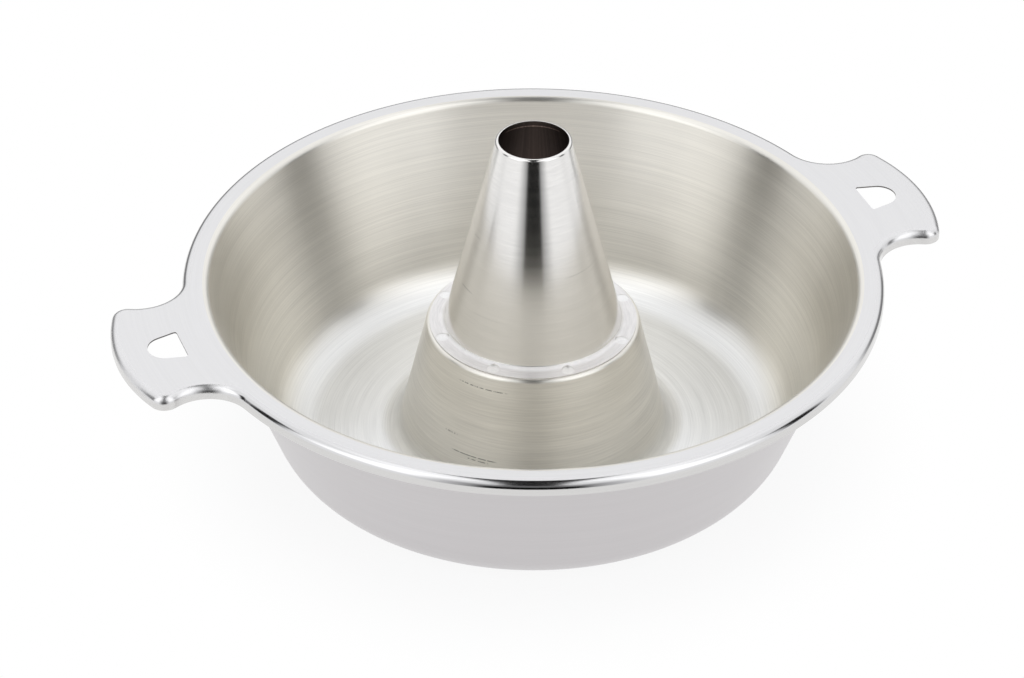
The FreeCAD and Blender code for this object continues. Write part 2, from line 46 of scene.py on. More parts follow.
UP = Vector((0.0, 0.0, 1.0))
# Sections are drawn in the plane of radius and height, and their bends turn about this axis.
SECTION_AXIS = Vector((0.0, -1.0, 0.0))
# Points nearer to each other than this, in millimetres, are made one.
MERGE_MM = 0.002
# A face counts as flat when its normal has more of up in it than this.
FLAT = 0.999
# How far the photograph's camera stands round from the pot's front, towards its left handle.
PHOTO_TURN = math.radians(21.05)
RIM_RADIUS = 138.0
FLUE_RADIUS = 14.0
# Size of the cloudy patches on every finish, and of the floor board's tooth, in millimetres.
CLOUD_MM = 29.4
BOARD_TOOTH_MM = 1.11
# How far hairlines, streaks and clouds move a finish's light up and down, at a contrast of 1.
HAIRLINE_LIGHT = 0.32
STREAK_LIGHT = 0.16
CLOUD_LIGHT = 0.08
Tree = bpy.types.NodeTree
Socket = bpy.types.NodeSocket
Mesh = bmesh.types.BMesh
# Type names of the nodes that are used most.
MATH = "ShaderNodeMath"
VECTOR_MATH = "ShaderNodeVectorMath"
MAP_RANGE = "ShaderNodeMapRange"
NOISE = "ShaderNodeTexNoise"


# Small helpers


def linear(hex_colour: str) -> tuple[float, float, float, float]:
    """Turn an sRGB hex colour into linear colour with full alpha.

    Args:
        hex_colour: Six hex digits after a hash.

    Returns:
        Red, green, blue and alpha, ready for a shader socket.
    """
    values = [int(hex_colour[place:place + 2], 16) / 255.0 for place in (1, 3, 5)]
    lit = [v / 12.92 if v <= 0.04045 else ((v + 0.055) / 1.055) ** 2.4 for v in values]
    return lit[0], lit[1], lit[2], 1.0


def add_node(
    tree: Tree,
    kind: str,
    settings: Mapping[str, object] | None = None,
    inputs: Mapping[str | int, object] | None = None,
) -> bpy.types.Node:
    """Add one node with its settings, and with a value or a link on each named input.

    Args:
        tree: The node tree that gets the node.
        kind: The node's type name.
        settings: Values of the node's own properties, by name.
        inputs: Values or source sockets, by the name or number of the input.

    Returns:
        The new node.
    """
    node = tree.nodes.new(kind)
    for name, value in (settings or {}).items():
        setattr(node, name, value)
    for name, value in (inputs or {}).items():
        if isinstance(value, Socket):
            tree.links.new(value, node.inputs[name])
        else:
            node.inputs[name].default_value = value
    return node


def overlap(tree: Tree, factors: Sequence[Socket]) -> Socket:
    """Return the product of masks or factors.

    Args:
        tree: The node tree that gets the nodes.
        factors: At least one socket.

    Returns:
        The product's socket.
    """
    product = factors[0]
    for factor in factors[1:]:
        product = add_node(
            tree, MATH, {"operation": "MULTIPLY"}, {0: product, 1: factor}
        ).outputs[0]
    return product


def vary(tree: Tree, middle: float, patterns: Sequence[tuple[Socket, float]]) -> Socket:
    """Return a value that patterns move up and down about its middle.

    Args:
        tree: The node tree that gets the nodes.
        middle: The value where every pattern is half way from 0 to 1.
        patterns: Each pattern, and how far it moves the value from its 0 to its 1.

    Returns:
        The value's socket.
    """
    value: Socket | float = middle - sum(reach for _, reach in patterns) / 2.0
    for pattern, reach in patterns:
        value = add_node(
            tree, MATH, {"operation": "MULTIPLY_ADD"}, {0: pattern, 1: reach, 2: value}
        ).outputs[0]
    return value


def soft_band(
    tree: Tree, value: Socket, centre: float, half_width: float, softness: float
) -> Socket:
    """Return a mask that is 1 within a band of a value and falls softly to 0 outside it.

    Args:
        tree: The node tree that gets the nodes.
        value: The socket that is compared with the band.
        centre: Middle of the band.
        half_width: Distance from the middle to where the mask is half.
        softness: Width of each soft edge.

    Returns:
        The mask's socket.
    """
    offset = add_node(tree, MATH, {"operation": "SUBTRACT"}, {0: value, 1: centre}).outputs[0]
    distance = add_node(tree, MATH, {"operation": "ABSOLUTE"}, {0: offset}).outputs[0]
    outer, inner = half_width + softness / 2.0, half_width - softness / 2.0
    return add_node(
        tree, MAP_RANGE, {"interpolation_type": "SMOOTHSTEP"},
        {"Value": distance, "From Min": outer, "From Max": inner},
    ).outputs["Result"]


# Drawing bent sheet


@dataclass(frozen=True)
class Corner:
    """A sharp corner of a path, and the radius of the bend that rounds it, in millimetres."""

    place: Vector
    bend: float = 0.0


@dataclass
class Pen:
    """Draws edges in a mesh, in millimetres, by extruding and spinning one vertex."""

    mesh: Mesh
    tip: bmesh.types.BMVert
    axis: Vector

    @classmethod
    def start(cls, mesh: Mesh, place: Vector, axis: Vector) -> "Pen":
        """Put the pen down.

        Args:
            mesh: The mesh that is drawn in.
            place: Where the path begins.
            axis: The direction about which the path's bends turn.

        Returns:
            A pen whose tip is the new vertex.
        """
        return cls(mesh, bmesh.ops.create_vert(mesh, co=place)["vert"][0], axis)

    def line(self, place: Vector) -> None:
        """Draw one straight edge, unless the tip is there already.

        Args:
            place: Where the edge ends.
        """
        if (place - self.tip.co).length < MERGE_MM:
            return
        made = bmesh.ops.extrude_vert_indiv(self.mesh, verts=[self.tip])
        self.tip = made["verts"][0]
        bmesh.ops.translate(self.mesh, verts=[self.tip], vec=place - self.tip.co)

    def run(self, place: Vector, ease: float, stride: float) -> None:
        """Draw a straight run with a short edge at either end, so that bends shade cleanly.

        Args:
            place: Where the run ends.
            ease: Length of the short edge beside a bend.
            stride: Greatest length of the edges between.
        """
        begin = self.tip.co.copy()
        length = (place - begin).length
        way = (place - begin).normalized()
        # A run that is shorter than this stays one edge.
        if length > 3.0 * ease:
            pieces = max(1, math.ceil((length - 2.0 * ease) / stride))
            for number in range(pieces + 1):
                along = ease + (length - 2.0 * ease) * number / pieces
                self.line(begin + way * along)
        self.line(place)

    def arc(self, centre: Vector, angle: float, steps: int) -> None:
        """Draw an arc from the tip.

        Args:
            centre: The arc's centre.
            angle: How far it turns about the pen's axis, in radians.
            steps: How many edges it has.
        """
        made = bmesh.ops.spin(
            self.mesh, geom=[self.tip], cent=centre, axis=self.axis, dvec=Vector(),
            angle=angle, steps=steps, use_merge=False, use_duplicate=False,
        )
        self.tip = next(item for item in made["geom_last"] if isinstance(item, bmesh.types.BMVert))

    def follow(self, corners: Sequence[Corner], steps: int, ease: float, stride: float) -> None:
        """Draw on through corners, each rounded by its bend.

        Args:
            corners: The path's corners after the tip; the last is its end.
            steps: Edges in a right angled bend.
            ease: Length of the short edges beside bends.
            stride: Greatest length of an edge on a straight run.
        """
        places = [self.tip.co.copy()] + [corner.place for corner in corners]
        for number, corner in enumerate(corners[:-1], start=1):
            before = (places[number] - places[number - 1]).normalized()
            after = (places[number + 1] - places[number]).normalized()
            turn = before.angle(after)
            side = 1.0 if before.cross(after).dot(self.axis) > 0.0 else -1.0
            first = corner.place - before * corner.bend * math.tan(turn / 2.0)
            centre = first + self.axis.cross(before) * side * corner.bend
            self.run(first, ease, stride)
            bends = max(3, round(steps * turn / (math.pi / 2.0)))
            self.arc(centre, side * turn, bends)
        self.run(corners[-1].place, ease, stride)


def section_point(radius: float, height: float) -> Vector:
    """Return a point of a turned section from its radius and height."""
    return Vector((radius, 0.0, height))


def bend_run(bend: float, angle: float) -> float:
    """Return how far short of its corner a bend between a level and a slope begins.

    Args:
        bend: The bend's radius.
        angle: The slope's angle from upright, in degrees.

    Returns:
        The distance, in the bend's own unit.
    """
    return bend * math.tan(math.radians(90.0 - angle) / 2.0)


def spin_round(
    mesh: Mesh, parts: Sequence[bmesh.types.BMVert | bmesh.types.BMEdge], steps: int
) -> None:
    """Spin parts of a mesh right round the upright axis.

    Args:
        mesh: The mesh that is drawn in.
        parts: The vertices and edges that are spun.
        steps: Edges in the full ring.
    """
    bmesh.ops.spin(
        mesh, geom=parts, cent=Vector(), axis=UP, dvec=Vector(), angle=math.tau, steps=steps,
        use_merge=True, use_duplicate=False,
    )


def largest_face(mesh: Mesh) -> bmesh.types.BMFace:
    """Return the face with the largest area."""
    return max(mesh.faces, key=lambda face: face.calc_area())


def face_upwards(mesh: Mesh, sample: bmesh.types.BMFace) -> None:
    """Turn every face of an open sheet to the side that faces up on one sample face.

    Args:
        mesh: The sheet.
        sample: A level face of it.
    """
    bmesh.ops.recalc_face_normals(mesh, faces=mesh.faces)
    if sample.normal.dot(UP) < 0.0:
        bmesh.ops.reverse_faces(mesh, faces=mesh.faces)


def dress(finishes: Mapping[IntEnum, "SteelFinish"]) -> list[bpy.types.Material]:
    """Build each finish's material once, and list them by the numbers of their faces."""
    made = {finish: finish.material() for finish in dict.fromkeys(finishes.values())}
    return [made[finishes[face]] for face in sorted(finishes)]


def finish_piece(
    mesh: Mesh, name: str, materials: Iterable[bpy.types.Material]
) -> bpy.types.Object:
    """Scale a mesh from millimetres, link it as an object and shade it smooth.

    Args:
        mesh: The finished mesh; it is freed.
        name: The piece's name.
        materials: Its materials, in the order of their face numbers.

    Returns:
        The new object, at the origin.
    """
    bmesh.ops.scale(mesh, vec=(MILLIMETRE,) * 3, verts=mesh.verts)
    data = bpy.data.meshes.new(name)
    mesh.to_mesh(data)
    mesh.free()
    for material in materials:
        data.materials.append(material)
    data.shade_smooth()
    piece = bpy.data.objects.new(name, data)
    bpy.context.scene.collection.objects.link(piece)
    return piece


def add_sheet_thickness(
    piece: bpy.types.Object, gauge: float, back_offset: int, cut_offset: int
) -> None:
    """Give an open sheet its gauge behind its visible side.

    Args:
        piece: The sheet.
        gauge: Its thickness in millimetres.
        back_offset: How much further on in the list the back's material is.
        cut_offset: How much further on that of the cut edges is, with the last one as its limit.
    """
    solid = piece.modifiers.new("gauge", "SOLIDIFY")
    solid.thickness = gauge * MILLIMETRE
    solid.offset = -1.0
    solid.use_even_offset = True
    solid.material_offset = back_offset
    solid.material_offset_rim = cut_offset


# Finishes


class GrainLay(Enum):
    """Which way a finish's hairlines run."""

    ROUND = "round the axis"
    UPRIGHT = "up and down"


@dataclass(frozen=True)
class DrawMarkAndPaintedHighlight:
    """A broken hairline that the drawing die left round a tapered wall.

    Heights, widths and the radius within which the mark lies are in millimetres. Angles are in
    degrees from the side that faces the camera, growing towards the right. More gaps break the
    line more. A strength below 0 makes the line shine, and it is then a painted highlight, not a
    die mark.
    """

    height: float
    first: float
    last: float
    width: float = 0.34
    gaps: float = 0.5
    strength: float = 0.75
    within: float = 66.0

    def light(self, tree: Tree, axes: bpy.types.Node, radius: Socket) -> Socket:
        """Return how much light the mark leaves, from 1 beside it to less within it.

        Args:
            tree: The node tree that gets the nodes.
            axes: Node that gives the three coordinates.
            radius: Distance from the axis, in metres.

        Returns:
            The socket of the factor.
        """
        side_softness, end_softness = self.width * 0.6, 0.3
        dashes_per_radian, fade_below, fade_above = 38.0, 0.06, 0.02
        level = soft_band(
            tree, axes.outputs["Z"], self.height * MILLIMETRE,
            self.width / 2.0 * MILLIMETRE, side_softness * MILLIMETRE,
        )
        angle = add_node(
            tree, MATH, {"operation": "ARCTAN2"}, {0: axes.outputs["Y"], 1: axes.outputs["X"]}
        ).outputs[0]
        front = -math.pi / 2.0 - PHOTO_TURN
        middle = front + math.radians((self.first + self.last) / 2.0)
        reach = math.radians((self.last - self.first) / 2.0)
        sweep = soft_band(tree, angle, middle, reach, reach * end_softness)
        dashes = add_node(
            tree, NOISE, {"noise_dimensions": "1D"},
            {"W": angle, "Scale": dashes_per_radian, "Detail": 2.0},
        ).outputs["Fac"]
        broken = add_node(
            tree, MAP_RANGE, None,
            {
                "Value": dashes, "From Min": self.gaps - fade_below,
                "From Max": self.gaps + fade_above,
            },
        ).outputs["Result"]
        inside = add_node(
            tree, MATH, {"operation": "LESS_THAN"}, {0: radius, 1: self.within * MILLIMETRE}
        ).outputs[0]
        mask = overlap(tree, [level, sweep, broken, inside])
        return add_node(
            tree, MATH, {"operation": "MULTIPLY_ADD"}, {0: mask, 1: -self.strength, 2: 1.0}
        ).outputs[0]


@dataclass(frozen=True)
class SteelFinish:
    """One surface of the stainless sheet: what was done to it last, and what that shows.

    Grain sizes are in millimetres. Grit leaves hairlines a few hundredths of a millimetre
    apart, too fine to show, so each grain is drawn as coarse as it needs to show.
    """

    name: str
    tint: str
    roughness: float
    anisotropy: float
    grain: float
    grain_length: float
    grain_depth: float
    streak: float
    mottle: float
    contrast: float = 1.0
    lay: GrainLay = GrainLay.ROUND
    floor_reflection_tint: str = ""
    floor_fade: float = 12.0
    marks: tuple[DrawMarkAndPaintedHighlight, ...] = ()

    def material(self) -> bpy.types.Material:
        """Build the finish's material.

        Returns:
            A new material whose gloss runs across its grain.
        """
        material = bpy.data.materials.new(self.name)
        material.use_nodes = True
        tree = material.node_tree
        tree.nodes.clear()
        place = add_node(tree, "ShaderNodeTexCoord").outputs["Object"]
        axes = add_node(tree, "ShaderNodeSeparateXYZ", None, {0: place})
        flat = add_node(
            tree, VECTOR_MATH, {"operation": "MULTIPLY"}, {0: place, 1: (1.0, 1.0, 0.0)}
        ).outputs["Vector"]
        radius = add_node(tree, VECTOR_MATH, {"operation": "LENGTH"}, {0: flat}).outputs["Value"]
        outward = add_node(
            tree, VECTOR_MATH, {"operation": "NORMALIZE"}, {0: flat}
        ).outputs["Vector"]
        # This grows all the way along a section, on walls and on level parts alike.
        along = add_node(
            tree, MATH, {"operation": "ADD"}, {0: radius, 1: axes.outputs["Z"]}
        ).outputs[0]
        fine = self.hairlines(tree, outward, along, coarseness=1.0, detail=3.0)
        broad = self.hairlines(tree, outward, along, coarseness=6.0, detail=2.0)
        cloud_scale = 1.0 / (CLOUD_MM * MILLIMETRE)
        cloud = add_node(
            tree, NOISE, None,
            {"Vector": place, "Scale": cloud_scale, "Detail": 3.0, "Roughness": 0.55},
        ).outputs["Fac"]
        shares = ((fine, HAIRLINE_LIGHT), (broad, STREAK_LIGHT), (cloud, CLOUD_LIGHT))
        light = vary(tree, 1.0, [(pattern, share * self.contrast) for pattern, share in shares])
        marks = [mark.light(tree, axes, radius) for mark in self.marks]
        colour = self.colour(tree, overlap(tree, [light, *marks]), axes.outputs["Z"])
        rough = vary(tree, self.roughness, [(broad, self.streak), (cloud, self.mottle)])
        bump = add_node(
            tree, "ShaderNodeBump", None,
            {"Strength": 1.0, "Distance": self.grain_depth * MILLIMETRE, "Height": fine},
        ).outputs["Normal"]
        tangent = add_node(
            tree, VECTOR_MATH, {"operation": "CROSS_PRODUCT"}, {0: UP, 1: outward}
        ).outputs["Vector"]
        shader = add_node(
            tree, "ShaderNodeBsdfPrincipled", None,
            {
                "Metallic": 1.0, "Anisotropic": self.anisotropy, "Anisotropic Rotation": 0.25,
                "Base Color": colour, "Roughness": rough, "Normal": bump, "Tangent": tangent,
            },
        ).outputs[0]
        add_node(tree, "ShaderNodeOutputMaterial", None, {"Surface": shader})
        return material

    def hairlines(
        self, tree: Tree, outward: Socket, along: Socket, coarseness: float, detail: float
    ) -> Socket:
        """Draw hairlines along the grain, with no seam round the axis.

        Args:
            tree: The node tree that gets the nodes.
            outward: Unit vector away from the axis.
            along: Distance down the section, in metres.
            coarseness: How many times wider and longer than the finest grain they are.
            detail: Finer octaves on top of that spacing.

        Returns:
            A value from 0 to 1.
        """
        spacing, length = self.grain * coarseness, self.grain_length * coarseness
        if self.lay is GrainLay.ROUND:
            radius, around, down = RIM_RADIUS, length, spacing
        else:
            radius, around, down = FLUE_RADIUS, spacing, length
        turn = add_node(
            tree, VECTOR_MATH, {"operation": "SCALE"}, {0: outward, "Scale": radius / around}
        ).outputs["Vector"]
        level = add_node(
            tree, MATH, {"operation": "MULTIPLY"}, {0: along, 1: 1.0 / (down * MILLIMETRE)}
        ).outputs[0]
        rise = add_node(tree, "ShaderNodeCombineXYZ", None, {"Z": level}).outputs[0]
        spot = add_node(
            tree, VECTOR_MATH, {"operation": "ADD"}, {0: turn, 1: rise}
        ).outputs["Vector"]
        return add_node(
            tree, NOISE, None, {"Vector": spot, "Scale": 1.0, "Detail": detail, "Roughness": 0.6}
        ).outputs["Fac"]

    def colour(self, tree: Tree, light: Socket, height: Socket) -> Socket:
        """Tint the steel, with a painted reflection tint down at the floor where it has one.

        Args:
            tree: The node tree that gets the nodes.
            light: How much of the tint each place shows.
            height: Height above the base, in metres.

        Returns:
            The colour's socket.
        """
        tint: Socket | Sequence[float] = linear(self.tint)[:3]
        if self.floor_reflection_tint:
            above = add_node(
                tree, MAP_RANGE, {"interpolation_type": "SMOOTHSTEP"},
                {"Value": height, "From Max": self.floor_fade * MILLIMETRE},
            ).outputs["Result"]
            # Inputs 6 and 7 and output 2 are the node's colours.
            tint = add_node(
                tree, "ShaderNodeMix", {"data_type": "RGBA"},
                {0: above, 6: linear(self.floor_reflection_tint), 7: linear(self.tint)},
            ).outputs[2]
        return add_node(
            tree, VECTOR_MATH, {"operation": "SCALE"}, {0: tint, "Scale": light}
        ).outputs["Vector"]


# Cold rolled stainless sheet, satin finished with a fine wheel after pressing: an even, cool
# grey sheen with hardly any direction.
SATIN_RIM = SteelFinish(
    name="stainless_sheet_satin_rim", tint="#dcdbda", roughness=0.36, anisotropy=0.15,
    grain=0.4, grain_length=30.0, grain_depth=0.0008, streak=0.02, mottle=0.05, contrast=0.3,
)
# The rolled edge, burnished by the roller that turned it down: near enough a mirror.
BURNISHED_EDGE = SteelFinish(
    name="stainless_sheet_burnished_edge", tint="#d6d5d4", roughness=0.13, anisotropy=0.3,
    grain=0.4, grain_length=40.0, grain_depth=0.0006, streak=0.03, mottle=0.03, contrast=0.3,
)
# The same edge round the handles, dressed by hand so that it is kind to fingers: softer.
DRESSED_LUG_EDGE = SteelFinish(
    name="stainless_sheet_dressed_lug_edge", tint="#dad9d8", roughness=0.27, anisotropy=0.2,
    grain=0.4, grain_length=20.0, grain_depth=0.001, streak=0.04, mottle=0.06, contrast=0.4,
)
# The same sheet as the press left it outside, dulled by the die: soft, and its slight lilac cast
# is a painted reflection of the floor it mirrors.
PRESSED_OUTSIDE = SteelFinish(
    name="stainless_sheet_pressed_outside", tint="#cbc8c9", roughness=0.3, anisotropy=0.3,
    grain=0.6, grain_length=60.0, grain_depth=0.0008, streak=0.02, mottle=0.06, contrast=0.25,
)
# The inside, brushed on a lathe with a grit belt: hairlines run round the bowl, so that
# reflections smear down the wall and stay narrow along it.
BRUSHED_BOWL = SteelFinish(
    name="stainless_sheet_brushed_bowl", tint="#e2dfd7", roughness=0.32, anisotropy=0.8,
    grain=0.42, grain_length=60.0, grain_depth=0.0015, streak=0.06, mottle=0.06, contrast=1.05,
    # The cooler tint on the floor is a painted reflection: the floor mirrors the cool light
    # overhead, where the warm walls mirror each other.
    floor_reflection_tint="#e3e3e1",
    marks=(
        DrawMarkAndPaintedHighlight(height=46.4, first=-40.0, last=-14.0, gaps=0.5),
        DrawMarkAndPaintedHighlight(height=17.4, first=-38.0, last=-17.0, gaps=0.42),
        DrawMarkAndPaintedHighlight(height=16.2, first=-30.0, last=-20.0, gaps=0.5),
        DrawMarkAndPaintedHighlight(height=24.0, first=-44.0, last=-37.0, width=0.6, gaps=0.52, strength=0.4),
    ),
)
# The chimney's cone, spun and polished brighter than the bowl: a mirror along the grain.
SPUN_CHIMNEY = SteelFinish(
    name="stainless_sheet_spun_chimney", tint="#e6e4e0", roughness=0.17, anisotropy=0.72,
    grain=0.34, grain_length=60.0, grain_depth=0.0007, streak=0.06, mottle=0.04, contrast=0.55,
    marks=(
        DrawMarkAndPaintedHighlight(height=76.5, first=-74.0, last=-54.0, width=0.5, gaps=0.46, strength=0.35),
        DrawMarkAndPaintedHighlight(height=98.5, first=-76.0, last=-60.0, width=0.5, gaps=0.5, strength=0.3),
        DrawMarkAndPaintedHighlight(height=88.0, first=30.0, last=58.0, width=0.4, gaps=0.5, strength=0.2),
        DrawMarkAndPaintedHighlight(height=70.0, first=-50.0, last=-24.0, width=0.4, gaps=0.54, strength=0.2),
    ),
)
# The chimney's foot flange, flattened between dies: matt and nearly white.
PRESSED_FLANGE = SteelFinish(
    name="stainless_sheet_pressed_flange", tint="#ebe9e7", roughness=0.56, anisotropy=0.0,
    grain=0.5, grain_length=20.0, grain_depth=0.0015, streak=0.04, mottle=0.06,
)
# Inside the flue: bare sheet, tinted dark brown with strong upright streaks.
DARK_BROWN_FLUE = SteelFinish(
    name="stainless_sheet_dark_brown_flue", tint="#4f443f", roughness=0.45, anisotropy=0.3,
    grain=0.9, grain_length=60.0, grain_depth=0.004, streak=0.12, mottle=0.12, contrast=3.5,
    lay=GrainLay.UPRIGHT,
    # The mark is a painted highlight: a bright line round the flue's far inside wall just under
    # the lip.
    marks=(DrawMarkAndPaintedHighlight(height=133.2, first=140.0, last=225.0, width=0.5, gaps=0.5, strength=-6.0),),
)
# Where the sheet was cut: torn dull grey by the punch, and darkened further into a painted shade
# line along every cut edge.
SHEARED_CUT_AND_EDGE_SHADE = SteelFinish(
    name="stainless_sheet_sheared_cut_and_edge_shade", tint="#7f7c7a", roughness=0.5, anisotropy=0.0,
    grain=0.3, grain_length=2.0, grain_depth=0.01, streak=0.05, mottle=0.1,
)
# Metal squeezed smooth by a copper electrode.
ELECTRODE_MARK = SteelFinish(
    name="stainless_weld_electrode_mark", tint="#f0efed", roughness=0.45, anisotropy=0.1,
    grain=0.3, grain_length=3.0, grain_depth=0.002, streak=0.05, mottle=0.1,
)


# Pot body


class PotFace(IntEnum):
    """Which finish a face of the pot body has."""

    RIM = 0
    EDGE = 1
    LUG_EDGE = 2
    BOWL = 3
    RIM_BACK = 4
    EDGE_BACK = 5
    LUG_BACK = 6
    OUTSIDE = 7
    CUT = 8


POT_FINISHES = {
    PotFace.RIM: SATIN_RIM,
    PotFace.EDGE: BURNISHED_EDGE,
    PotFace.LUG_EDGE: DRESSED_LUG_EDGE,
    PotFace.BOWL: BRUSHED_BOWL,
    PotFace.RIM_BACK: PRESSED_OUTSIDE,
    PotFace.EDGE_BACK: PRESSED_OUTSIDE,
    PotFace.LUG_BACK: PRESSED_OUTSIDE,
    PotFace.OUTSIDE: PRESSED_OUTSIDE,
    PotFace.CUT: SHEARED_CUT_AND_EDGE_SHADE,
}


@dataclass
class PotBody:
    """The deep drawn sheet: bowl, chimney step, rolled rim and two lug handles.

    Lengths are in millimetres, angles in degrees from upright.
    """

    gauge: float = 0.6
    rim_height: float = 76.2
    rim_radius: float = RIM_RADIUS
    rim_flat_radius: float = 130.0
    rim_bend: float = 2.9
    rim_roll: float = 3.1
    rim_roll_steps: int = 9
    rim_margin: float = 0.3
    skirt_depth: float = 5.4
    wall_angle: float = 20.1
    floor_bend: float = 19.5
    foot_bend: float = 8.8
    step_height: float = 52.3
    step_angle: float = 13.5
    step_flat_radius: float = 41.0
    step_bend: float = 1.7
    flue_radius: float = 34.0
    lug_reach: float = 169.3
    lug_end_radius: float = 75.0
    lug_corner: float = 6.0
    neck_width: float = 59.4
    neck_radius: float = 17.0
    slot_inner: float = 143.5
    slot_width: float = 17.0
    slot_centre: float = 150.0
    slot_end_radius: float = 7.1
    slot_corner: float = 1.0
    round_steps: int = 288
    join_radius: float = 130.4
    lug_share: float = 0.985
    node: str = "pot_body"

    def section(self) -> list[Corner]:
        """Draw up the bowl's section after the rim.

        Returns:
            Its corners, in and down the wall, along the floor, up the step and in on its top.
        """
        wall = math.tan(math.radians(self.wall_angle))
        step = math.tan(math.radians(self.step_angle))
        floor = self.gauge
        lip = self.rim_flat_radius - bend_run(self.rim_bend, self.wall_angle)
        wall_foot = lip - (self.rim_height - floor) * wall
        shoulder = self.step_flat_radius + bend_run(self.step_bend, self.step_angle)
        step_foot = shoulder + (self.step_height - floor) * step
        return [
            Corner(section_point(lip, self.rim_height), self.rim_bend),
            Corner(section_point(wall_foot, floor), self.floor_bend),
            Corner(section_point(step_foot, floor), self.foot_bend),
            Corner(section_point(shoulder, self.step_height), self.step_bend),
            Corner(section_point(self.flue_radius, self.step_height)),
        ]

    def draw_bowl(self) -> Mesh:
        """Spin the bowl's section round.

        Returns:
            A new mesh of the sheet inside the rim.
        """
        mesh = bmesh.new()
        pen = Pen.start(mesh, section_point(self.join_radius, self.rim_height), SECTION_AXIS)
        pen.follow(self.section(), steps=14, ease=0.3, stride=6.0)
        spin_round(mesh, mesh.verts[:] + mesh.edges[:], self.round_steps)
        for face in mesh.faces:
            face.material_index = PotFace.BOWL
        return mesh

    def draw_outline(self, mesh: Mesh, height: float) -> None:
        """Draw the rim's outline with both handles, as one quarter mirrored twice.

        Args:
            mesh: The mesh that is drawn in.
            height: Level of the outline.
        """
        neck = Vector((0.0, self.neck_width / 2.0 + self.neck_radius, height))
        neck.x = math.sqrt((self.rim_radius + self.neck_radius) ** 2 - neck.y ** 2)
        end = Vector((self.lug_reach - self.lug_end_radius, 0.0, height))
        # The handle's corner rounds off where its end arc and its neck arc would meet.
        to_end = self.lug_end_radius - self.lug_corner
        to_neck = self.neck_radius + self.lug_corner
        apart = math.hypot(neck.x - end.x, neck.y)
        along = (apart ** 2 + to_end ** 2 - to_neck ** 2) / (2.0 * apart)
        corner_angle = math.atan2(neck.y, neck.x - end.x) - math.acos(along / to_end)
        corner = end + Vector((math.cos(corner_angle), math.sin(corner_angle), 0.0)) * to_end
        neck_start = math.atan2(corner.y - neck.y, corner.x - neck.x)
        neck_turn = (math.atan2(-neck.y, -neck.x) - neck_start) % -math.tau
        rim_turn = math.pi / 2.0 - math.atan2(neck.y, neck.x)
        pen = Pen.start(mesh, Vector((self.lug_reach, 0.0, height)), UP)
        pen.arc(end, corner_angle, steps=24)
        pen.arc(corner, neck_start + math.pi - corner_angle, steps=18)
        pen.arc(neck, neck_turn, steps=28)
        pen.arc(Vector((0.0, 0.0, height)), rim_turn, steps=self.round_steps // 5)
        for axis in ("X", "Y"):
            bmesh.ops.mirror(
                mesh, geom=mesh.verts[:] + mesh.edges[:], axis=axis, merge_dist=MERGE_MM,
                mirror_u=False, mirror_v=False,
            )
        bmesh.ops.remove_doubles(mesh, verts=mesh.verts, dist=MERGE_MM)

    def draw_slot(self, mesh: Mesh, side: float) -> list[bmesh.types.BMEdge]:
        """Draw one hanging hole: a straight inner side, two small corners and a round end.

        Args:
            mesh: The mesh that is drawn in.
            side: 1 for the handle on the right, -1 for the one on the left.

        Returns:
            The hole's edges.
        """
        drawn_before = set(mesh.edges)
        centre = Vector((self.slot_centre, 0.0, self.rim_height))
        high = Vector((
            self.slot_inner + self.slot_corner, self.slot_width / 2.0 - self.slot_corner,
            self.rim_height,
        ))
        low = Vector((high.x, -high.y, high.z))
        begin = Vector((self.slot_inner, low.y, low.z))
        # The straight sides touch the corner arcs and the end arc along one common normal.
        apart = math.hypot(centre.x - high.x, high.y)
        lean = math.acos((self.slot_end_radius - self.slot_corner) / apart)
        normal = math.atan2(high.y, high.x - centre.x) - lean
        upper = Vector((math.cos(normal), math.sin(normal), 0.0))
        lower = Vector((upper.x, -upper.y, 0.0))
        pen = Pen.start(mesh, begin, UP)
        pen.arc(low, math.pi - normal, steps=6)
        pen.line(centre + lower * self.slot_end_radius)
        pen.arc(centre, 2.0 * normal, steps=30)
        pen.line(high + upper * self.slot_corner)
        pen.arc(high, math.pi - normal, steps=6)
        pen.line(begin)
        drawn = [edge for edge in mesh.edges if edge not in drawn_before]
        ends = list({vert for edge in drawn for vert in edge.verts})
        bmesh.ops.scale(mesh, vec=(side, 1.0, 1.0), verts=ends)
        bmesh.ops.remove_doubles(mesh, verts=ends, dist=MERGE_MM)
        return [edge for edge in mesh.edges if edge not in drawn_before]

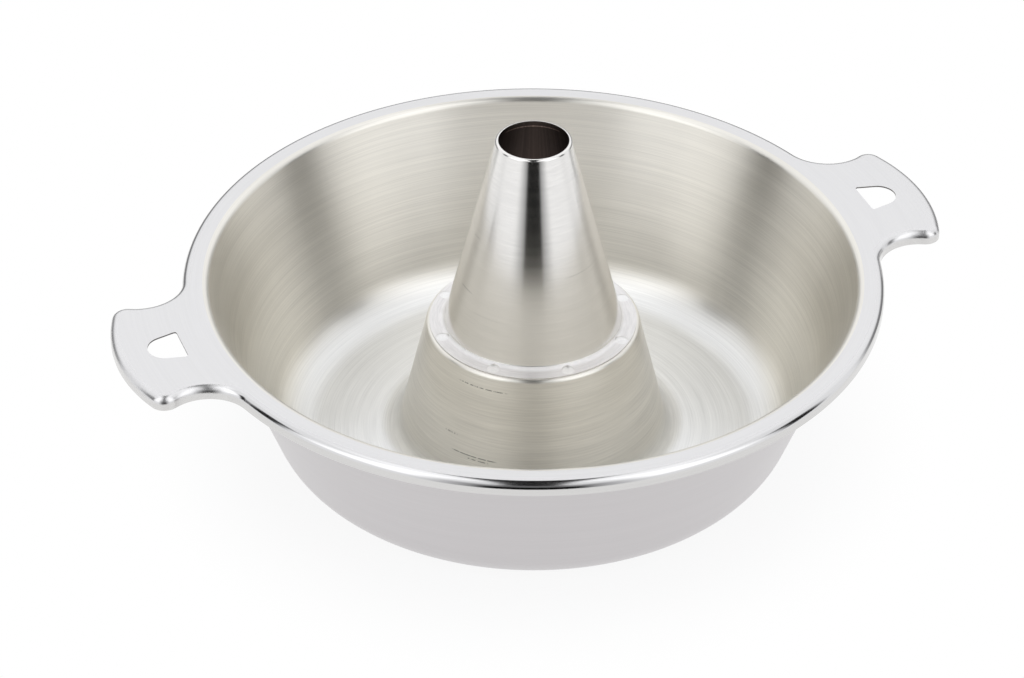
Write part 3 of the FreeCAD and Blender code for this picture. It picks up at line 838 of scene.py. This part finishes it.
    def draw_rim(self) -> Mesh:
        """Press the rim: a flat ring with handles, rolled over and turned down all round.

        Returns:
            A new mesh of the sheet outside the bowl.
        """
        mesh = bmesh.new()
        self.draw_outline(mesh, self.rim_height - self.skirt_depth)
        plate = bmesh.ops.contextual_create(mesh, geom=mesh.edges)
        raised = bmesh.ops.extrude_face_region(mesh, geom=plate["faces"])
        lifted = [item for item in raised["geom"] if isinstance(item, bmesh.types.BMVert)]
        bmesh.ops.translate(mesh, verts=lifted, vec=UP * self.skirt_depth)
        lowest = min(mesh.faces, key=lambda face: face.calc_center_median().z)
        bmesh.ops.delete(mesh, geom=[lowest], context="FACES_ONLY")
        bmesh.ops.bevel(
            mesh, geom=list(largest_face(mesh).edges), offset=self.rim_roll, offset_type="OFFSET",
            segments=self.rim_roll_steps, profile=0.5, affect="EDGES", material=-1,
            loop_slide=True, clamp_overlap=False,
        )
        bmesh.ops.inset_region(
            mesh, faces=[largest_face(mesh)], thickness=self.rim_margin, use_even_offset=True,
            use_boundary=True,
        )
        top = largest_face(mesh)
        outline = list(top.edges)
        bmesh.ops.delete(mesh, geom=[top], context="FACES_ONLY")
        pen = Pen.start(mesh, section_point(self.join_radius, self.rim_height), UP)
        drawn_before = set(mesh.edges)
        spin_round(mesh, [pen.tip], self.round_steps)
        circle = [edge for edge in mesh.edges if edge not in drawn_before]
        slots = self.draw_slot(mesh, 1.0) + self.draw_slot(mesh, -1.0)
        bmesh.ops.triangle_fill(
            mesh, use_beauty=True, use_dissolve=False, edges=outline + circle + slots
        )
        for face in mesh.faces:
            face.material_index = PotFace.RIM
        return mesh

    def build(self) -> bpy.types.Object:
        """Join rim and bowl into one sheet and dress it.

        Returns:
            The finished piece.
        """
        mesh = self.draw_rim()
        bowl = self.draw_bowl()
        passing = bpy.data.meshes.new("passing")
        bowl.to_mesh(passing)
        bowl.free()
        mesh.from_mesh(passing)
        bpy.data.meshes.remove(passing)
        bmesh.ops.remove_doubles(mesh, verts=mesh.verts, dist=MERGE_MM)
        face_upwards(mesh, next(
            face for face in mesh.faces
            if abs(face.normal.z) > FLAT and face.material_index == PotFace.RIM
        ))
        bend_start = self.rim_height - self.rim_bend
        for face in mesh.faces:
            middle = face.calc_center_median()
            if face.normal.z > FLAT and middle.z > bend_start:
                face.material_index = PotFace.RIM
            elif face.material_index == PotFace.RIM:
                on_lug = abs(middle.x) > self.rim_radius * self.lug_share
                face.material_index = PotFace.LUG_EDGE if on_lug else PotFace.EDGE
        piece = finish_piece(mesh, "pot_body_sheet", dress(POT_FINISHES))
        add_sheet_thickness(piece, self.gauge, PotFace.RIM_BACK - PotFace.RIM, PotFace.CUT)
        return piece


# Chimney stack


class StackFace(IntEnum):
    """Which finish a face of the chimney has."""

    CONE = 0
    FLANGE = 1
    FLUE = 2
    UNDERSIDE = 3


STACK_FINISHES = {
    StackFace.CONE: SPUN_CHIMNEY,
    StackFace.FLANGE: PRESSED_FLANGE,
    StackFace.FLUE: DARK_BROWN_FLUE,
    StackFace.UNDERSIDE: PRESSED_FLANGE,
}


@dataclass
class ChimneyStack:
    """The chimney: a cone whose foot turns out into a flange and whose mouth turns in.

    Lengths are in millimetres, and the angle in degrees from upright.
    """

    gauge: float = 0.6
    foot_height: float = 52.9
    height: float = 83.3
    angle: float = 14.0
    mouth_radius: float = 13.7
    lip_bend: float = 1.1
    lip_turn: float = 0.15
    foot_bend: float = 2.4
    pressed_share: float = 0.5
    flange_radius: float = 41.2
    round_steps: int = 288
    node: str = "chimney_stack"

    def section(self) -> list[Corner]:
        """Draw up the section after the flange's edge.

        Returns:
            Its corners, in to the cone's foot, up the cone and in over the lip.
        """
        top = self.foot_height + self.height
        lip = self.mouth_radius + self.lip_turn + bend_run(self.lip_bend, self.angle)
        foot = lip + self.height * math.tan(math.radians(self.angle))
        return [
            Corner(section_point(foot, self.foot_height), self.foot_bend),
            Corner(section_point(lip, top), self.lip_bend),
            Corner(section_point(self.mouth_radius, top)),
        ]

    def build(self) -> bpy.types.Object:
        """Spin the cone, its flange and its lip as one sheet.

        Returns:
            The finished piece.
        """
        mesh = bmesh.new()
        pen = Pen.start(mesh, section_point(self.flange_radius, self.foot_height), SECTION_AXIS)
        pen.follow(self.section(), steps=12, ease=0.2, stride=5.0)
        spin_round(mesh, mesh.verts[:] + mesh.edges[:], self.round_steps)
        face_upwards(mesh, max(
            mesh.faces, key=lambda face: abs(face.normal.z) - face.calc_center_median().z
        ))
        pressed_height = self.foot_height + self.foot_bend * self.pressed_share
        for face in mesh.faces:
            pressed = face.calc_center_median().z < pressed_height
            face.material_index = StackFace.FLANGE if pressed else StackFace.CONE
        piece = finish_piece(mesh, "chimney_stack_cone", dress(STACK_FINISHES))
        add_sheet_thickness(piece, self.gauge, StackFace.FLUE - StackFace.CONE, 0)
        return piece


# Spot welds


@dataclass
class SpotWelds:
    """The ring of nuggets that the electrodes left in the foot flange, in millimetres."""

    count: int = 8
    ring: float = 38.2
    radius: float = 2.6
    top: float = 52.78
    bottom: float = 51.82
    dish: float = 0.113
    dish_shares: tuple[float, ...] = (0.35, 0.6, 0.8, 0.95)
    cutter_depth: float = 8.0
    cutter_below: float = 1.0
    round_steps: int = 48
    node: str = "spot_welds"

    def copy_round(self, mesh: Mesh) -> None:
        """Move a shape from the axis out to the ring, and copy it to every weld's place.

        Args:
            mesh: The mesh that holds the shape and nothing else.
        """
        bmesh.ops.translate(mesh, verts=mesh.verts, vec=Vector((self.ring, 0.0, 0.0)))
        bmesh.ops.spin(
            mesh, geom=mesh.verts[:] + mesh.edges[:] + mesh.faces[:], cent=Vector(), axis=UP,
            dvec=Vector(), angle=math.tau * (self.count - 1) / self.count, steps=self.count - 1,
            use_merge=False, use_duplicate=True,
        )

    def build(self) -> bpy.types.Object:
        """Turn one nugget, dished on top, and set copies of it round the ring.

        Returns:
            The finished piece.
        """
        mesh = bmesh.new()
        pen = Pen.start(mesh, section_point(0.0, self.top - self.dish), SECTION_AXIS)
        for share in self.dish_shares:
            depth = self.dish * (1.0 - share ** 2)
            pen.line(section_point(self.radius * share, self.top - depth))
        for place in ((self.radius, self.top), (self.radius, self.bottom), (0.0, self.bottom)):
            pen.line(section_point(*place))
        spin_round(mesh, mesh.verts[:] + mesh.edges[:], self.round_steps)
        bmesh.ops.remove_doubles(mesh, verts=mesh.verts, dist=MERGE_MM)
        bmesh.ops.recalc_face_normals(mesh, faces=mesh.faces)
        self.copy_round(mesh)
        return finish_piece(mesh, "spot_weld_nuggets", [ELECTRODE_MARK.material()])

    def cutter(self) -> bpy.types.Object:
        """Make the punches that cut the welds' round seats into both sheets.

        Returns:
            A passing piece for press_seats.
        """
        mesh = bmesh.new()
        bmesh.ops.create_cone(
            mesh, cap_ends=True, segments=self.round_steps, radius1=self.radius,
            radius2=self.radius, depth=self.cutter_depth,
        )
        middle = self.bottom - self.cutter_below + self.cutter_depth / 2.0
        bmesh.ops.translate(mesh, verts=mesh.verts, vec=UP * middle)
        self.copy_round(mesh)
        return finish_piece(mesh, "seat_cutter", [])


def press_seats(
    pieces: Sequence[bpy.types.Object], cutter: bpy.types.Object, sharp_angle: float
) -> None:
    """Cut the welds' seats through sheets, and leave the cut meshes in place of their modifiers.

    Args:
        pieces: The sheets.
        cutter: The piece that is taken away from them; it is removed.
        sharp_angle: Edges that turn more than this, in degrees, shade as sharp.
    """
    for piece in pieces:
        cut = piece.modifiers.new("weld_seats", "BOOLEAN")
        cut.operation = "DIFFERENCE"
        cut.solver = "EXACT"
        cut.object = cutter
        bpy.context.view_layer.update()
        view = bpy.context.evaluated_depsgraph_get()
        pressed = bpy.data.meshes.new_from_object(piece.evaluated_get(view), depsgraph=view)
        piece.modifiers.clear()
        old = piece.data
        piece.data = pressed
        pressed.name = piece.name
        pressed.set_sharp_from_angle(angle=math.radians(sharp_angle))
        bpy.data.meshes.remove(old)
    data = cutter.data
    bpy.data.objects.remove(cutter)
    bpy.data.meshes.remove(data)


# Studio


@dataclass(frozen=True)
class Panel:
    """One part of the studio as the steel sees it, by direction.

    Angles are in degrees. The one aside is measured from the camera's side, to the left and to
    the right alike, because the room is the same on both sides.
    """

    aside: float
    half_width: float
    low: float
    high: float
    softness: float
    radiance: float

    def mask(self, tree: Tree, aside: Socket, height: Socket) -> Socket:
        """Return a mask that is 1 on the panel.

        Args:
            tree: The node tree that gets the nodes.
            aside: Angle from the camera's side, in radians.
            height: Angle up from the horizon, in radians.

        Returns:
            The mask's socket.
        """
        wide = soft_band(
            tree, aside, math.radians(self.aside),
            math.radians(self.half_width), math.radians(self.softness),
        )
        tall = soft_band(
            tree, height, math.radians((self.low + self.high) / 2.0),
            math.radians((self.high - self.low) / 2.0), math.radians(self.softness),
        )
        return overlap(tree, [wide, tall])


# Polished steel shows little but the room round it. Each panel covers the ones before it. The
# sides of these meet overhead, and their low and high are elevations.
ROOM_SECTORS = (
    # The bright ceiling, all the way round.
    Panel(aside=90.0, half_width=100.0, low=62.0, high=110.0, softness=14.0, radiance=1.4),
    # The far wall's foot, in shade, with a soft box above it that the flat rim mirrors.
    Panel(aside=180.0, half_width=62.0, low=-90.0, high=12.0, softness=14.0, radiance=0.28),
    Panel(aside=180.0, half_width=60.0, low=22.0, high=62.0, softness=20.0, radiance=1.2),
    # A soft box in front on either side.
    Panel(aside=52.0, half_width=20.0, low=12.0, high=70.0, softness=16.0, radiance=1.62),
    # The dim part of the room behind the camera.
    Panel(aside=0.0, half_width=26.0, low=-90.0, high=34.0, softness=26.0, radiance=0.35),
    # Dark gaps between the soft boxes and the far wall, which band the bowl's far side.
    Panel(aside=87.0, half_width=8.0, low=-4.0, high=32.0, softness=8.0, radiance=0.0),
)
# The sides of these run side by side, as a board's do, and their low and high are counted on
# past overhead, down the far side.
ROOM_BOARDS = (
    # A wide black board below the camera, and a narrow one that runs on overhead: the line along
    # the rolled edge and the streak down the cone.
    Panel(aside=0.0, half_width=15.5, low=-90.0, high=16.0, softness=6.0, radiance=0.0),
    Panel(aside=0.0, half_width=7.5, low=-90.0, high=114.0, softness=3.0, radiance=0.0),
    # The camera and its stand, dark grey.
    Panel(aside=0.0, half_width=9.0, low=14.0, high=38.0, softness=6.0, radiance=0.16),
)


@dataclass
class Studio:
    """A white room with soft boxes and dark gaps, a white floor board and the camera.

    Lengths are in millimetres, but for the camera's place, which is in metres.
    """

    light: float = 1.08
    tint: str = "#fbfcff"
    sectors: tuple[Panel, ...] = ROOM_SECTORS
    boards: tuple[Panel, ...] = ROOM_BOARDS
    floor_radius: float = 400.0
    floor_gap: float = 0.1
    floor_tones: tuple[float, float] = (0.88, 0.92)
    fade_start: float = 100.0
    fade_end: float = 165.0
    near_white: float = 0.88
    lens: float = 123.7
    camera_place: tuple[float, float, float] = (-0.4107, -1.0670, 0.8593)
    camera_way: tuple[float, float, float] = (0.2867, 0.7614, -0.5814)

    def light_room(self) -> None:
        """Paint the room by direction, white to the camera."""
        world = bpy.data.worlds.new("studio")
        bpy.context.scene.world = world
        world.use_nodes = True
        tree = world.node_tree
        tree.nodes.clear()
        way = add_node(tree, "ShaderNodeTexCoord").outputs["Generated"]
        turned = add_node(
            tree, "ShaderNodeVectorRotate", {"rotation_type": "Z_AXIS"},
            {"Vector": way, "Angle": PHOTO_TURN},
        ).outputs[0]
        axes = add_node(tree, "ShaderNodeSeparateXYZ", None, {0: turned})
        right, up = axes.outputs["X"], axes.outputs["Z"]
        near = add_node(
            tree, MATH, {"operation": "MULTIPLY"}, {0: axes.outputs["Y"], 1: -1.0}
        ).outputs[0]
        around = add_node(tree, MATH, {"operation": "ARCTAN2"}, {0: right, 1: near}).outputs[0]
        sideways = add_node(tree, MATH, {"operation": "ARCSINE"}, {0: right}).outputs[0]
        elevation = add_node(tree, MATH, {"operation": "ARCSINE"}, {0: up}).outputs[0]
        pitch = add_node(tree, MATH, {"operation": "ARCTAN2"}, {0: up, 1: near}).outputs[0]
        value: Socket | float = self.light
        for panels, turn, height in (
            (self.sectors, around, elevation), (self.boards, sideways, pitch)
        ):
            aside = add_node(tree, MATH, {"operation": "ABSOLUTE"}, {0: turn}).outputs[0]
            for panel in panels:
                # Inputs 2 and 3 are the numbers that the node mixes.
                value = add_node(
                    tree, "ShaderNodeMix", {"data_type": "FLOAT"},
                    {0: panel.mask(tree, aside, height), 2: value, 3: panel.radiance},
                ).outputs[0]
        room = add_node(
            tree, "ShaderNodeBackground", None, {"Color": linear(self.tint), "Strength": value}
        ).outputs[0]
        white = add_node(
            tree, "ShaderNodeBackground", None, {"Color": linear("#ffffff"), "Strength": 1.0}
        ).outputs[0]
        seen = add_node(tree, "ShaderNodeLightPath").outputs["Is Camera Ray"]
        shown = add_node(
            tree, "ShaderNodeMixShader", None, {0: seen, 1: room, 2: white}
        ).outputs[0]
        add_node(tree, "ShaderNodeOutputWorld", None, {"Surface": shown})

    def floor_material(self) -> bpy.types.Material:
        """Make matt white board that fades to the white room away from the pot.

        Returns:
            A new material, clear from below.
        """
        material = bpy.data.materials.new("white_board")
        material.use_nodes = True
        tree = material.node_tree
        tree.nodes.clear()
        place = add_node(tree, "ShaderNodeTexCoord").outputs["Object"]
        reach = add_node(
            tree, VECTOR_MATH, {"operation": "LENGTH"}, {0: place}
        ).outputs["Value"]
        tooth = add_node(
            tree, NOISE, None,
            {"Vector": place, "Scale": 1.0 / (BOARD_TOOTH_MM * MILLIMETRE), "Detail": 2.0},
        ).outputs["Fac"]
        low, high = self.floor_tones
        tone = add_node(
            tree, MAP_RANGE, None, {"Value": tooth, "To Min": low, "To Max": high}
        ).outputs["Result"]
        board = add_node(
            tree, "ShaderNodeBsdfDiffuse", None, {"Roughness": 0.6, "Color": tone}
        ).outputs[0]
        white = add_node(
            tree, "ShaderNodeEmission", None, {"Color": linear("#ffffff")}
        ).outputs[0]
        fade = add_node(
            tree, MAP_RANGE, {"interpolation_type": "SMOOTHSTEP"},
            {
                "Value": reach, "To Min": self.near_white, "To Max": 1.0,
                "From Min": self.fade_start * MILLIMETRE, "From Max": self.fade_end * MILLIMETRE,
            },
        ).outputs["Result"]
        path = add_node(tree, "ShaderNodeLightPath")
        seen = add_node(
            tree, MATH, {"operation": "MAXIMUM"},
            {0: path.outputs["Is Camera Ray"], 1: path.outputs["Is Glossy Ray"]},
        ).outputs[0]
        top = add_node(
            tree, "ShaderNodeMixShader", None, {0: overlap(tree, [fade, seen]), 1: board, 2: white}
        ).outputs[0]
        below = add_node(tree, "ShaderNodeNewGeometry").outputs["Backfacing"]
        clear = add_node(tree, "ShaderNodeBsdfTransparent").outputs[0]
        shown = add_node(
            tree, "ShaderNodeMixShader", None, {0: below, 1: top, 2: clear}
        ).outputs[0]
        add_node(tree, "ShaderNodeOutputMaterial", None, {"Surface": shown})
        return material

    def lay_floor(self) -> None:
        """Lay the board that the pot stands on."""
        mesh = bmesh.new()
        bmesh.ops.create_circle(mesh, cap_ends=True, segments=96, radius=self.floor_radius)
        bmesh.ops.translate(mesh, verts=mesh.verts, vec=-UP * self.floor_gap)
        floor = finish_piece(mesh, "floor_board", [self.floor_material()])

    def set_camera(self) -> None:
        """Set the camera at the photograph's angle."""
        data = bpy.data.cameras.new("camera")
        data.sensor_fit = "HORIZONTAL"
        data.sensor_width = 36.0
        data.lens = self.lens
        data.clip_start = 0.05
        camera = bpy.data.objects.new("camera", data)
        camera.location = self.camera_place
        camera.rotation_euler = Vector(self.camera_way).to_track_quat("-Z", "Y").to_euler()
        bpy.context.scene.collection.objects.link(camera)
        bpy.context.scene.camera = camera


def main() -> None:
    """Build the pieces, dress them and set up the studio."""
    logging.basicConfig(level=logging.INFO, format="%(message)s")
    bpy.context.scene.view_settings.view_transform = "Standard"
    body, stack, welds = PotBody(), ChimneyStack(), SpotWelds()
    body_piece, stack_piece, weld_piece = body.build(), stack.build(), welds.build()
    press_seats([body_piece, stack_piece], welds.cutter(), sharp_angle=40.0)
    for part, piece in ((body, body_piece), (stack, stack_piece), (welds, weld_piece)):
        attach(piece, "root")
        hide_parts(part.node)
        LOG.info("%s: %d faces", piece.name, len(piece.data.polygons))
    studio = Studio()
    studio.light_room()
    studio.lay_floor()
    studio.set_camera()


if __name__ == "__main__":
    main()
